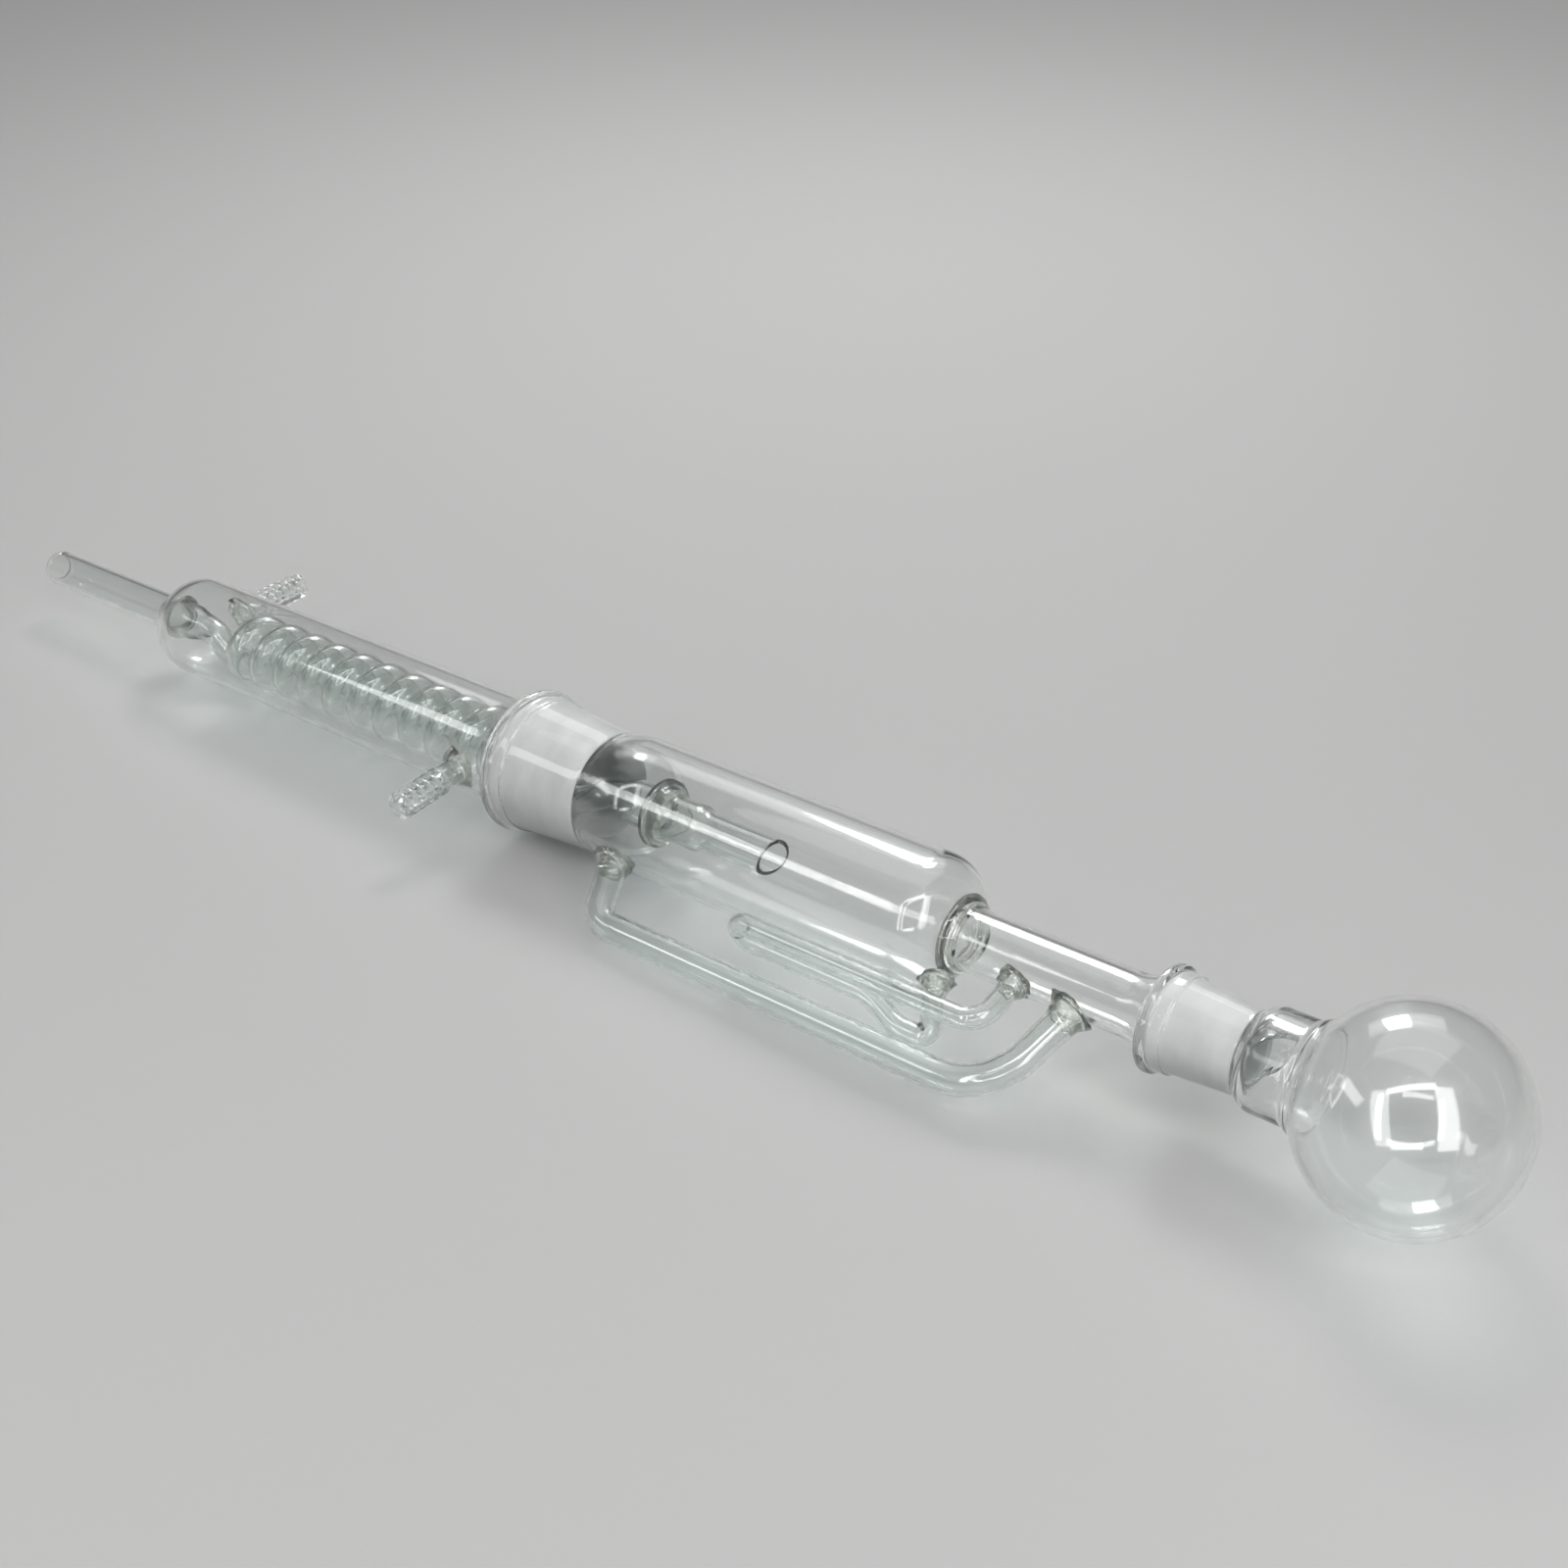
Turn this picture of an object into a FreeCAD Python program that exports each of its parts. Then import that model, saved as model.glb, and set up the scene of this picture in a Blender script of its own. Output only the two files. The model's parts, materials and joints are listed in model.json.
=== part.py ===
import FreeCAD, Part
import math
import os
import Sketcher
from FreeCAD import Placement, Rotation, Vector

# Soxhlet extractor with its boiling flask and coil condenser, laid on its side.
# Every piece is first modelled upright: the glass axis is Z, stations are heights above the flask's
# centre, and X is the side on which the vapour tube stands. One placement then lays the set down.
# Units are millimetres and degrees.

SIZES = {
    # boiling flask, 100 ml
    "flask_radius": 32.0,
    "flask_wall": 1.8,
    "neck_length": 14.3,
    "neck_sink": 8.0,
    "neck_foot_radius": 16.5,
    "neck_radius": 15.2,
    "neck_wall": 1.7,
    "neck_shoulder": 3.6,
    "neck_shoulder_outside": 1.44,
    # ground joints, taper as change of diameter over length
    "joint_taper": 0.1,
    "joint_clearance": 0.05,
    "cone_wall": 1.9,
    "small_joint_bore": 24.0,
    "small_joint_length": 29.0,
    "small_joint_wall": 2.0,
    "small_rim_radius": 16.1,
    "small_rim_height": 7.5,
    "large_joint_bore": 40.0,
    "large_joint_length": 38.0,
    "large_joint_wall": 2.2,
    "large_rim_radius": 24.4,
    "large_rim_height": 8.0,
    "rim_round": 1.6,
    "rim_bands": 3.0,
    # stem and its drip end
    "stem_length": 68.2,
    "stem_radius": 9.6,
    "stem_wall": 1.6,
    "stem_flare": 7.0,
    "stem_drip_length": 10.0,
    "stem_drip_radius": 9.0,
    "stem_drip_cut_angle": 40.0,
    # extraction chamber
    "chamber_length": 139.0,
    "chamber_radius": 21.7,
    "chamber_wall": 1.8,
    "chamber_base_round": 13.0,
    "chamber_flare": 8.5,
    "stem_seal_radius": 12.2,
    "stem_seal_height": 4.0,
    # siphon tube, stations measured from the chamber's base
    "siphon_radius": 3.4,
    "siphon_wall": 0.9,
    "siphon_gap": 2.5,
    "siphon_rise_angle": -3.0,
    "siphon_fall_angle": 16.0,
    "siphon_inlet_rise": 2.1,
    "siphon_trap_depth": 8.7,
    "siphon_trap_rise": 3.0,
    "siphon_trap_reach": 5.6,
    "siphon_trap_bend": 4.6,
    "siphon_rise_start": 16.5,
    "siphon_rise_bend": 14.0,
    "siphon_rise": 64.5,
    "siphon_outlet_depth": 24.7,
    "siphon_outlet_bend": 7.0,
    # vapour tube
    "vapour_radius": 4.9,
    "vapour_wall": 1.2,
    "vapour_gap": 0.7,
    "vapour_top_depth": 16.0,
    "vapour_top_fall": 8.5,
    "vapour_top_bend": 9.0,
    "vapour_low_rise": 24.2,
    "vapour_low_fall": 9.5,
    "vapour_low_bend": 24.0,
    # weld collars round the ends of the side tubes and hose barbs
    "weld_spread": 2.6,
    "weld_height": 4.5,
    "weld_lip": 0.3,
    "siphon_weld_offset": 4.0,
    "barb_weld_sink": 1.0,
    # condenser
    "jacket_length": 177.5,
    "jacket_radius": 18.0,
    "jacket_wall": 1.6,
    "jacket_flare": 8.0,
    "jacket_top_round": 15.0,
    "dome_depth": 23.5,
    "dome_round": 13.0,
    "seal_width": 2.4,
    "seal_lip": 0.6,
    "seal_height": 4.5,
    "vent_length": 74.5,
    "vent_seal_sink": 2.0,
    "vent_radius": 6.6,
    "vent_wall": 1.4,
    "vent_inside": 16.0,
    "vent_taper": 6.0,
    "vent_lip": 0.35,
    "vent_lip_round": 0.7,
    "vent_lip_height": 3.0,
    "drip_length": 17.0,
    "drip_radius": 7.5,
    "drip_wall": 1.3,
    "drip_inside": 19.8,
    "drip_taper": 6.0,
    "drip_step": 1.5,
    "drip_tip_length": 29.0,
    "drip_tip_radius": 6.2,
    "drip_cut_angle": 15.0,
    # coil
    "coil_radius": 8.0,
    "coil_tube_radius": 5.0,
    "coil_tube_wall": 1.1,
    "coil_turns": 12.0,
    "coil_angle": -30.0,
    "coil_elbow_bend": 8.0,
    "coil_offset_length": 10.0,
    "coil_offset_bend": 9.5,
    "coil_straight": 3.0,
    "coil_connection": 27.0,
    # hose barbs
    "barb_length": 27.0,
    "barb_radius": 4.9,
    "barb_groove": 0.7,
    "barb_bore": 1.9,
    "barb_ridges": 6.0,
    "barb_ridge_pitch": 3.3,
    "barb_ridge_land": 1.3,
    "inlet_rise": 9.0,
    "inlet_angle": 24.0,
    "outlet_depth": 16.5,
    "outlet_angle": 208.0,
    # half-width of the blocks that cut tube ends on a slant
    "cut_block_reach": 60.0,
}
# Lengths closer than this are taken as equal.
SAME = 1e-4

doc = FreeCAD.newDocument("soxhlet_extractor")
sheet = doc.addObject("Spreadsheet::Sheet", "sizes")
for row, (name, number) in enumerate(SIZES.items(), start=1):
    sheet.set(f"A{row}", name)
    sheet.set(f"B{row}", str(number))
    sheet.setAlias(f"B{row}", name)
doc.recompute()


class Size:
    """A length that knows its value and the expression on the sheet that gives it."""

    def __init__(self, value, text):
        self.value, self.text = value, text

    @staticmethod
    def of(other):
        return other if isinstance(other, Size) else Size(float(other), str(float(other)))

    def __add__(self, other):
        other = Size.of(other)
        return Size(self.value + other.value, f"({self.text} + {other.text})")

    def __sub__(self, other):
        other = Size.of(other)
        return Size(self.value - other.value, f"({self.text} - {other.text})")

    def __mul__(self, other):
        other = Size.of(other)
        return Size(self.value * other.value, f"({self.text} * {other.text})")

    def __truediv__(self, other):
        other = Size.of(other)
        return Size(self.value / other.value, f"({self.text} / {other.text})")

    def root(self):
        return Size(math.sqrt(self.value), f"sqrt({self.text})")


class Sheet:
    """The driving dimensions, read back from the sheet by name."""

    def __getattr__(self, name):
        return Size(float(sheet.get(name)), f"sizes.{name}")


size = Sheet()
sub_parts = []


def bind(thing, **settings):
    """Bind each named property to its size; a double underscore stands for a dot."""
    for name, length in settings.items():
        thing.setExpression(name.replace("__", "."), length.text)
    return thing


def make(kind, name, **settings):
    thing = doc.addObject(kind, name)
    return bind(thing, **settings)


def sub_part(thing, label):
    thing.Label = label
    sub_parts.append(thing)
    return thing


def cut(base, tool, name="cut"):
    result = doc.addObject("Part::Cut", name)
    result.Base, result.Tool = base, tool
    return result


def join(pieces, name="joined"):
    result = doc.addObject("Part::MultiFuse", name)
    result.Shapes = pieces
    return result


def lathe(name, outline):
    """Turn a closed outline of (radius, station) corners about Z; each corner is bound to the sheet."""
    body = doc.addObject("PartDesign::Body", name)
    sketch = body.newObject("Sketcher::SketchObject", name + "_outline")
    plane = [item for item in body.Origin.OriginFeatures if item.Role == "XZ_Plane"][0]
    sketch.AttachmentSupport = [(plane, "")]
    sketch.MapMode = "FlatFace"
    corners = [(Size.of(radius), Size.of(station)) for radius, station in outline]
    places = [Vector(radius.value, station.value, 0) for radius, station in corners]
    for start, end in zip(places, places[1:] + places[:1]):
        sketch.addGeometry(Part.LineSegment(start, end), False)
    for index in range(len(corners)):
        following = (index + 1) % len(corners)
        sketch.addConstraint(Sketcher.Constraint("Coincident", index, 2, following, 1))
    for index, (radius, station) in enumerate(corners):
        if radius.value == 0:
            sketch.addConstraint(Sketcher.Constraint("PointOnObject", index, 1, -2))
        else:
            place_corner(sketch, "DistanceX", index, radius)
        if station.value == 0:
            sketch.addConstraint(Sketcher.Constraint("PointOnObject", index, 1, -1))
        else:
            place_corner(sketch, "DistanceY", index, station)
    doc.recompute()
    turned = body.newObject("PartDesign::Revolution", name + "_turned")
    turned.Profile = sketch
    turned.ReferenceAxis = (sketch, ["V_Axis"])
    turned.Angle = 360
    doc.recompute()
    return body


def place_corner(sketch, kind, index, length):
    """Set a corner's distance from the sketch's origin by the sheet."""
    number = sketch.addConstraint(Sketcher.Constraint(kind, -1, 1, index, 1, length.value))
    sketch.setExpression(f"Constraints[{number}]", length.text)


def round_corners(body, corners, round_size):
    """Fillet the circular edges that stand at the given (radius, station) corners."""
    tip = body.Tip
    names = []
    for number, edge in enumerate(tip.Shape.Edges, start=1):
        curve = edge.Curve
        if not isinstance(curve, Part.Circle):
            continue
        for radius, station in corners:
            level = curve.Center.z - station.value
            if max(abs(curve.Radius - radius.value), abs(level)) < SAME:
                names.append(f"Edge{number}")
    fillet = body.newObject("PartDesign::Fillet", body.Name + "_round")
    fillet.Base = (tip, names)
    fillet.setExpression("Radius", round_size.text)
    doc.recompute()


def polar(radius, angle, station):
    """A point at a radius and an angle round the glass axis."""
    turn = math.radians(angle)
    return Vector(radius * math.cos(turn), radius * math.sin(turn), station)


def route_wire(points, bends):
    """Straight runs through the points, with a tangent arc of the given radius at each inner point."""
    edges, start = [], points[0]
    for before, corner, after, bend in zip(points, points[1:], points[2:], bends):
        back, ahead = (before - corner).normalize(), (after - corner).normalize()
        half = back.getAngle(ahead) / 2
        reach = bend / math.tan(half)
        enter, leave = corner + back * reach, corner + ahead * reach
        middle = (back + ahead).normalize()
        crown = corner + middle * (bend / math.sin(half) - bend)
        if start.distanceToPoint(enter) > SAME:
            edges.append(Part.LineSegment(start, enter).toShape())
        edges.append(Part.Arc(enter, crown, leave).toShape())
        start = leave
    edges.append(Part.LineSegment(start, points[-1]).toShape())
    return Part.Wire(edges)


def tube_solid(name, spine, start, direction, radius, frenet=False):
    """A round bar of the given radius along a spine object."""
    ring = make("Part::Circle", name + "_ring", Radius=radius)
    ring.Placement = Placement(start, Rotation(Vector(0, 0, 1), direction))
    sweep = doc.addObject("Part::Sweep", name)
    sweep.Sections = [ring]
    sweep.Spine = (spine, [f"Edge{number + 1}" for number in range(len(spine.Shape.Edges))])
    sweep.Solid = True
    sweep.Frenet = frenet
    return sweep


def bent_tube(name, points, bends, radius, wall):
    """The outer bar and the bore of a bent tube, as two swept solids."""
    spine = doc.addObject("Part::Feature", name + "_route")
    spine.Shape = route_wire(points, bends)
    direction = points[1] - points[0]
    outer = tube_solid(name + "_outer", spine, points[0], direction, radius)
    bore = tube_solid(name + "_bore", spine, points[0], direction, radius - wall)
    return outer, bore


def weld_collar(label, radius, place, direction, obstacles):
    """A cone of melted glass round a tube where it leaves a wall, trimmed to both."""
    cone = make("Part::Cone", label + "_cone", Height=size.weld_height,
                Radius1=radius + size.weld_spread, Radius2=radius + size.weld_lip)
    cone.Placement = Placement(place, Rotation(Vector(0, 0, 1), direction))
    return sub_part(cut(cone, join(obstacles)), label)


# ---- Ground joints: sizes that both halves of each joint share --------------------------------
small_end = size.flask_radius + size.neck_length
small_mouth = small_end + size.small_joint_length
small_bore = size.small_joint_bore / 2
small_bore_end = small_bore - size.small_joint_length * size.joint_taper / 2
chamber_base = small_mouth + size.stem_length
large_end = chamber_base + size.chamber_length
large_mouth = large_end + size.large_joint_length
large_bore = size.large_joint_bore / 2
large_bore_end = large_bore - size.large_joint_length * size.joint_taper / 2


def socket_outline(bore, bore_end, mouth, end, wall, rim, rim_height):
    """Half-section of a tapered socket with a thick rim."""
    step = mouth - rim_height / size.rim_bands
    foot = mouth - rim_height
    collar = rim - size.rim_round
    return [(bore_end, end), (bore_end + wall, end), (bore + wall, foot), (collar, foot),
            (collar, step), (rim, step), (rim, mouth), (bore, mouth)]


def cone_outline(bore, bore_end, mouth, end):
    """Half-section of a tapered cone that fits the socket with the joint's clearance."""
    top, bottom = bore - size.joint_clearance, bore_end - size.joint_clearance
    return [(bottom - size.cone_wall, end), (bottom, end), (top, mouth), (top - size.cone_wall, mouth)]


# ---- Boiling flask: round bulb, short wide neck, tapered socket -------------------------------
ball = make("Part::Sphere", "ball", Radius=size.flask_radius)
hollow = make("Part::Sphere", "ball_hollow", Radius=size.flask_radius - size.flask_wall)
neck_bore = make("Part::Cylinder", "neck_bore", Height=size.flask_radius,
                 Radius=size.neck_foot_radius - size.neck_wall)
sub_part(cut(ball, join([hollow, neck_bore])), "flask_bulb")

neck_foot = size.flask_radius - size.neck_sink
neck_outline = [
    (size.neck_foot_radius - size.neck_wall, neck_foot),
    (size.neck_foot_radius, neck_foot),
    (size.neck_radius, small_end - size.neck_shoulder_outside),
    (small_bore_end + size.small_joint_wall, small_end),
    (small_bore_end, small_end),
    (size.neck_radius - size.neck_wall, small_end - size.neck_shoulder),
]
sub_part(cut(lathe("neck", neck_outline), ball), "flask_neck")

flask_socket = lathe("small_socket", socket_outline(
    small_bore, small_bore_end, small_mouth, small_end,
    size.small_joint_wall, size.small_rim_radius, size.small_rim_height))
small_rim_step = small_mouth - size.small_rim_height / size.rim_bands
small_rim_corners = [(size.small_rim_radius, small_mouth), (size.small_rim_radius, small_rim_step)]
round_corners(flask_socket, small_rim_corners, size.rim_round / 2)
sub_part(flask_socket, "flask_socket")

# ---- Extractor stem: ground cone, drip end and tube up to the chamber -------------------------
small_cone = lathe("small_cone", cone_outline(small_bore, small_bore_end, small_mouth, small_end))
sub_part(small_cone, "stem_cone")

cone_foot = small_bore_end - size.joint_clearance
drip_end = small_end - size.stem_drip_length
stem_drip = lathe("stem_drip", [
    (size.stem_drip_radius - size.stem_wall, drip_end),
    (size.stem_drip_radius, drip_end),
    (cone_foot, small_end),
    (cone_foot - size.cone_wall, small_end),
])


def slanting_cut(piece, name, radius, low, angle):
    """Cut a tube's end on a slant that rises from its lowest point."""
    reach = size.cut_block_reach
    block = make("Part::Box", name, Length=reach * 2, Width=reach * 2, Height=reach)
    slant = Rotation(Vector(0, 1, 0), -angle.value)
    corner = slant.multVec(Vector(0, -reach.value, -reach.value))
    block.Placement = Placement(Vector(-radius.value, 0, low.value) + corner, slant)
    return cut(piece, block)


slanted_stem = slanting_cut(stem_drip, "stem_drip_slant", size.stem_drip_radius, drip_end,
                            size.stem_drip_cut_angle)
sub_part(slanted_stem, "stem_drip_end")

stem_inner = size.stem_radius - size.stem_wall
cone_head = small_bore - size.joint_clearance
stem = lathe("stem", [
    (cone_head - size.cone_wall, small_mouth),
    (cone_head, small_mouth),
    (size.stem_radius, small_mouth + size.stem_flare),
    (size.stem_radius, chamber_base),
    (stem_inner, chamber_base),
    (stem_inner, small_mouth + size.stem_flare),
])
stem_bar = make("Part::Cylinder", "stem_bar", Radius=size.stem_radius, Height=chamber_base)

# ---- Extraction chamber: wide tube with a closed round base, flared into the large socket -----
chamber_top = large_end - size.chamber_flare
flare_radius = large_bore_end + size.large_joint_wall
chamber_full = lathe("chamber_full", [
    (0, chamber_base), (size.chamber_radius, chamber_base), (size.chamber_radius, chamber_top),
    (flare_radius, large_end), (0, large_end),
])
round_corners(chamber_full, [(size.chamber_radius, chamber_base)], size.chamber_base_round)
chamber_inner = size.chamber_radius - size.chamber_wall
chamber_floor = chamber_base + size.chamber_wall
chamber_space = lathe("chamber_space", [
    (0, chamber_floor), (chamber_inner, chamber_floor), (chamber_inner, chamber_top),
    (large_bore_end, large_end), (0, large_end),
])
round_corners(chamber_space, [(chamber_inner, chamber_floor)], size.chamber_base_round - size.chamber_wall)

extractor_socket = lathe("large_socket", socket_outline(
    large_bore, large_bore_end, large_mouth, large_end,
    size.large_joint_wall, size.large_rim_radius, size.large_rim_height))
large_rim_step = large_mouth - size.large_rim_height / size.rim_bands
large_rim_corners = [(size.large_rim_radius, large_mouth), (size.large_rim_radius, large_rim_step)]
round_corners(extractor_socket, large_rim_corners, size.rim_round / 2)
sub_part(extractor_socket, "extractor_socket")

# ---- Siphon tube: out of the chamber's base, up beside it, over and back into the stem --------
siphon_standoff = size.chamber_radius + size.siphon_radius + size.siphon_gap
trap_standoff = siphon_standoff + size.siphon_trap_reach
rise_angle, fall_angle = size.siphon_rise_angle.value, size.siphon_fall_angle.value
siphon_start = size.chamber_radius - size.chamber_base_round
siphon_end = stem_inner - size.stem_wall
siphon_top = chamber_base + size.siphon_rise
siphon_outlet = chamber_base - size.siphon_outlet_depth
siphon_points = [polar(radius.value, angle, station.value) for radius, angle, station in [
    (siphon_start, rise_angle, chamber_base + size.siphon_inlet_rise),
    (trap_standoff, rise_angle, chamber_base - size.siphon_trap_depth),
    (trap_standoff, rise_angle, chamber_base + size.siphon_trap_rise),
    (siphon_standoff, rise_angle, chamber_base + size.siphon_rise_start),
    (siphon_standoff, rise_angle, siphon_top),
    (siphon_standoff, fall_angle, siphon_top),
    (siphon_standoff, fall_angle, siphon_outlet),
    (siphon_end, fall_angle, siphon_outlet),
]]
leg_spacing = siphon_points[4].distanceToPoint(siphon_points[5])
siphon_bends = [size.siphon_trap_bend.value, size.siphon_rise_bend.value, size.siphon_rise_bend.value,
                leg_spacing / 2, leg_spacing / 2, size.siphon_outlet_bend.value]
siphon_outer, siphon_bore = bent_tube("siphon", siphon_points, siphon_bends,
                                      size.siphon_radius, size.siphon_wall)
sub_part(cut(cut(siphon_outer, siphon_bore), join([chamber_full, stem_bar])), "siphon_tube")

# ---- Vapour tube: from the stem, round the outside, to the top of the chamber -----------------
vapour_standoff = trap_standoff + size.siphon_radius + size.vapour_radius + size.vapour_gap
vapour_top = large_end - size.vapour_top_depth
vapour_low = small_mouth + size.vapour_low_rise
vapour_points = [polar(radius.value, 0, station.value) for radius, station in [
    (chamber_inner - size.chamber_wall, vapour_top),
    (vapour_standoff, vapour_top - size.vapour_top_fall),
    (vapour_standoff, vapour_low + size.vapour_low_fall),
    (siphon_end, vapour_low),
]]
vapour_bends = [size.vapour_top_bend.value, size.vapour_low_bend.value]
vapour_outer, vapour_bore = bent_tube("vapour", vapour_points, vapour_bends,
                                      size.vapour_radius, size.vapour_wall)
sub_part(cut(cut(vapour_outer, vapour_bore), join([chamber_full, stem_bar])), "vapour_tube")

bores = join([vapour_bore, siphon_bore], "bores")
sub_part(cut(cut(chamber_full, chamber_space), bores), "extraction_chamber")
sub_part(cut(stem, bores), "stem_tube")

# Ring of melted glass where the stem meets the chamber's base.
stem_ring = make("Part::Cone", "stem_ring", Height=size.stem_seal_height,
                 Radius1=size.stem_radius + size.weld_lip, Radius2=size.stem_seal_radius,
                 Placement__Base__z=chamber_base - size.stem_seal_height)
sub_part(cut(stem_ring, join([stem_bar, chamber_full, siphon_outer])), "stem_seal")

# ---- Weld collars of the side tubes -----------------------------------------------------------
weld_collar("vapour_top_weld", size.vapour_radius, polar(chamber_inner.value, 0, vapour_top.value),
            vapour_points[1] - vapour_points[0], [chamber_full, vapour_outer])
weld_collar("vapour_low_weld", size.vapour_radius, polar(stem_inner.value, 0, vapour_low.value),
            vapour_points[2] - vapour_points[3], [stem_bar, vapour_outer])
inlet_heading = (siphon_points[1] - siphon_points[0]).normalize()
inlet_place = siphon_points[0] + inlet_heading * size.siphon_weld_offset.value
weld_collar("siphon_inlet_weld", size.siphon_radius, inlet_place, inlet_heading,
            [chamber_full, siphon_outer, stem_bar, stem_ring])
outlet_place = polar(stem_inner.value, fall_angle, siphon_outlet.value)
weld_collar("siphon_outlet_weld", size.siphon_radius, outlet_place, siphon_points[6] - siphon_points[7],
            [stem_bar, siphon_outer])

# ---- Condenser jacket, its ground cone and its dome -------------------------------------------
jacket_inner = size.jacket_radius - size.jacket_wall
jacket_foot = large_mouth + size.jacket_flare
jacket_top = jacket_foot + size.jacket_length
cone_top = large_bore - size.joint_clearance
large_cone = lathe("large_cone", cone_outline(large_bore, large_bore_end, large_mouth, large_end))
sub_part(large_cone, "condenser_cone")

jacket = lathe("jacket", [
    (cone_top - size.cone_wall, large_mouth),
    (cone_top, large_mouth),
    (size.jacket_radius, jacket_foot),
    (size.jacket_radius, jacket_top),
    (0, jacket_top),
    (0, jacket_top - size.jacket_wall),
    (jacket_inner, jacket_top - size.jacket_wall),
    (jacket_inner, jacket_foot),
])
round_corners(jacket, [(size.jacket_radius, jacket_top)], size.jacket_top_round)
round_corners(jacket, [(jacket_inner, jacket_top - size.jacket_wall)],
              size.jacket_top_round - size.jacket_wall)
jacket_full = lathe("jacket_full", [
    (0, jacket_foot),
    (size.jacket_radius, jacket_foot),
    (size.jacket_radius, jacket_top),
    (0, jacket_top),
])
round_corners(jacket_full, [(size.jacket_radius, jacket_top)], size.jacket_top_round)
vent_hole = make("Part::Cylinder", "vent_hole", Radius=size.vent_radius, Height=jacket_top)

dome_radius = large_bore_end - size.joint_clearance
dome_low = large_end - size.dome_depth
dome = lathe("dome", [
    (dome_radius - size.cone_wall, large_end),
    (dome_radius, large_end),
    (dome_radius, dome_low),
    (0, dome_low),
    (0, dome_low + size.cone_wall),
    (dome_radius - size.cone_wall, dome_low + size.cone_wall),
])
round_corners(dome, [(dome_radius, dome_low)], size.dome_round)
round_corners(dome, [(dome_radius - size.cone_wall, dome_low + size.cone_wall)],
              size.dome_round - size.cone_wall)
drip_hole = make("Part::Cylinder", "drip_hole", Radius=size.drip_radius, Height=large_end)
sub_part(cut(dome, drip_hole), "condenser_dome")

# ---- Coil with its bends, vent tube and drip tube ---------------------------------------------
vent_foot = jacket_top - size.vent_inside
drip_head = dome_low + size.drip_inside
coil_top = vent_foot - size.coil_connection
coil_bottom = drip_head + size.coil_connection
coil_height = coil_top - coil_bottom
coil_pitch = coil_height / size.coil_turns
helix = make("Part::Helix", "coil_helix", Pitch=coil_pitch, Height=coil_height, Radius=size.coil_radius)
helix.LocalCoord = "Left-handed"
helix.Placement = Placement(Vector(0, 0, coil_bottom.value), Rotation(Vector(0, 0, 1), size.coil_angle.value))
bind(helix, Placement__Base__z=coil_bottom)
doc.recompute()
coil_start = polar(size.coil_radius.value, size.coil_angle.value, coil_bottom.value)
coil_end = polar(size.coil_radius.value, size.coil_angle.value, coil_top.value)
climb = coil_pitch.value / (2 * math.pi)
upward = (polar(size.coil_radius.value, size.coil_angle.value - 90, climb)).normalize()
coil_outer = tube_solid("coil_outer", helix, coil_start, upward, size.coil_tube_radius, frenet=True)
coil_tube_bore = size.coil_tube_radius - size.coil_tube_wall
coil_bore = tube_solid("coil_bore", helix, coil_start, upward, coil_tube_bore, frenet=True)
sub_part(cut(coil_outer, coil_bore), "coil")


def coil_bend(name, label, face, heading, rise):
    """Tube from a coil's end face, turned along the axis, then stepped sideways onto the axis."""
    elbow, offset = size.coil_elbow_bend.value, size.coil_offset_bend.value
    turn = heading.getAngle(Vector(0, 0, rise))
    corner = face + heading * (elbow * math.tan(turn / 2))
    aside = Vector(corner.x, corner.y, corner.z + rise * (elbow + size.coil_straight.value))
    on_axis = Vector(0, 0, aside.z + rise * size.coil_offset_length.value)
    finish = Vector(0, 0, face.z + rise * size.coil_connection.value)
    outer, bore = bent_tube(name, [face, corner, aside, on_axis, finish], [elbow, offset, offset],
                            size.coil_tube_radius, size.coil_tube_wall)
    sub_part(cut(outer, bore), label)


coil_bend("coil_top", "coil_top_bend", coil_end, upward, 1)
coil_bend("coil_low", "coil_bottom_bend", coil_start, upward * -1, -1)

vent_top = jacket_top + size.vent_length
vent_bore = size.vent_radius - size.vent_wall
vent_tube = lathe("vent", [
    (coil_tube_bore, vent_foot),
    (size.coil_tube_radius, vent_foot),
    (size.vent_radius, vent_foot + size.vent_taper),
    (size.vent_radius, vent_top - size.vent_lip_height),
    (size.vent_radius + size.vent_lip, vent_top - size.vent_lip_round),
    (size.vent_radius, vent_top),
    (vent_bore, vent_top),
    (vent_bore, vent_foot + size.vent_taper),
])
sub_part(vent_tube, "vent_tube")

drip_step = dome_low - size.drip_length
drip_bottom = drip_step - size.drip_tip_length
drip_bore = size.drip_radius - size.drip_wall
drip_tip_bore = size.drip_tip_radius - size.drip_wall
drip = lathe("drip", [
    (drip_tip_bore, drip_bottom),
    (size.drip_tip_radius, drip_bottom),
    (size.drip_tip_radius, drip_step),
    (size.drip_radius, drip_step + size.drip_step),
    (size.drip_radius, drip_head - size.drip_taper),
    (size.coil_tube_radius, drip_head),
    (coil_tube_bore, drip_head),
    (drip_bore, drip_head - size.drip_taper),
    (drip_bore, drip_step + size.drip_step),
    (drip_tip_bore, drip_step),
])
slanted_drip = slanting_cut(drip, "drip_slant", size.drip_tip_radius, drip_bottom, size.drip_cut_angle)
sub_part(slanted_drip, "drip_tube")

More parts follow.
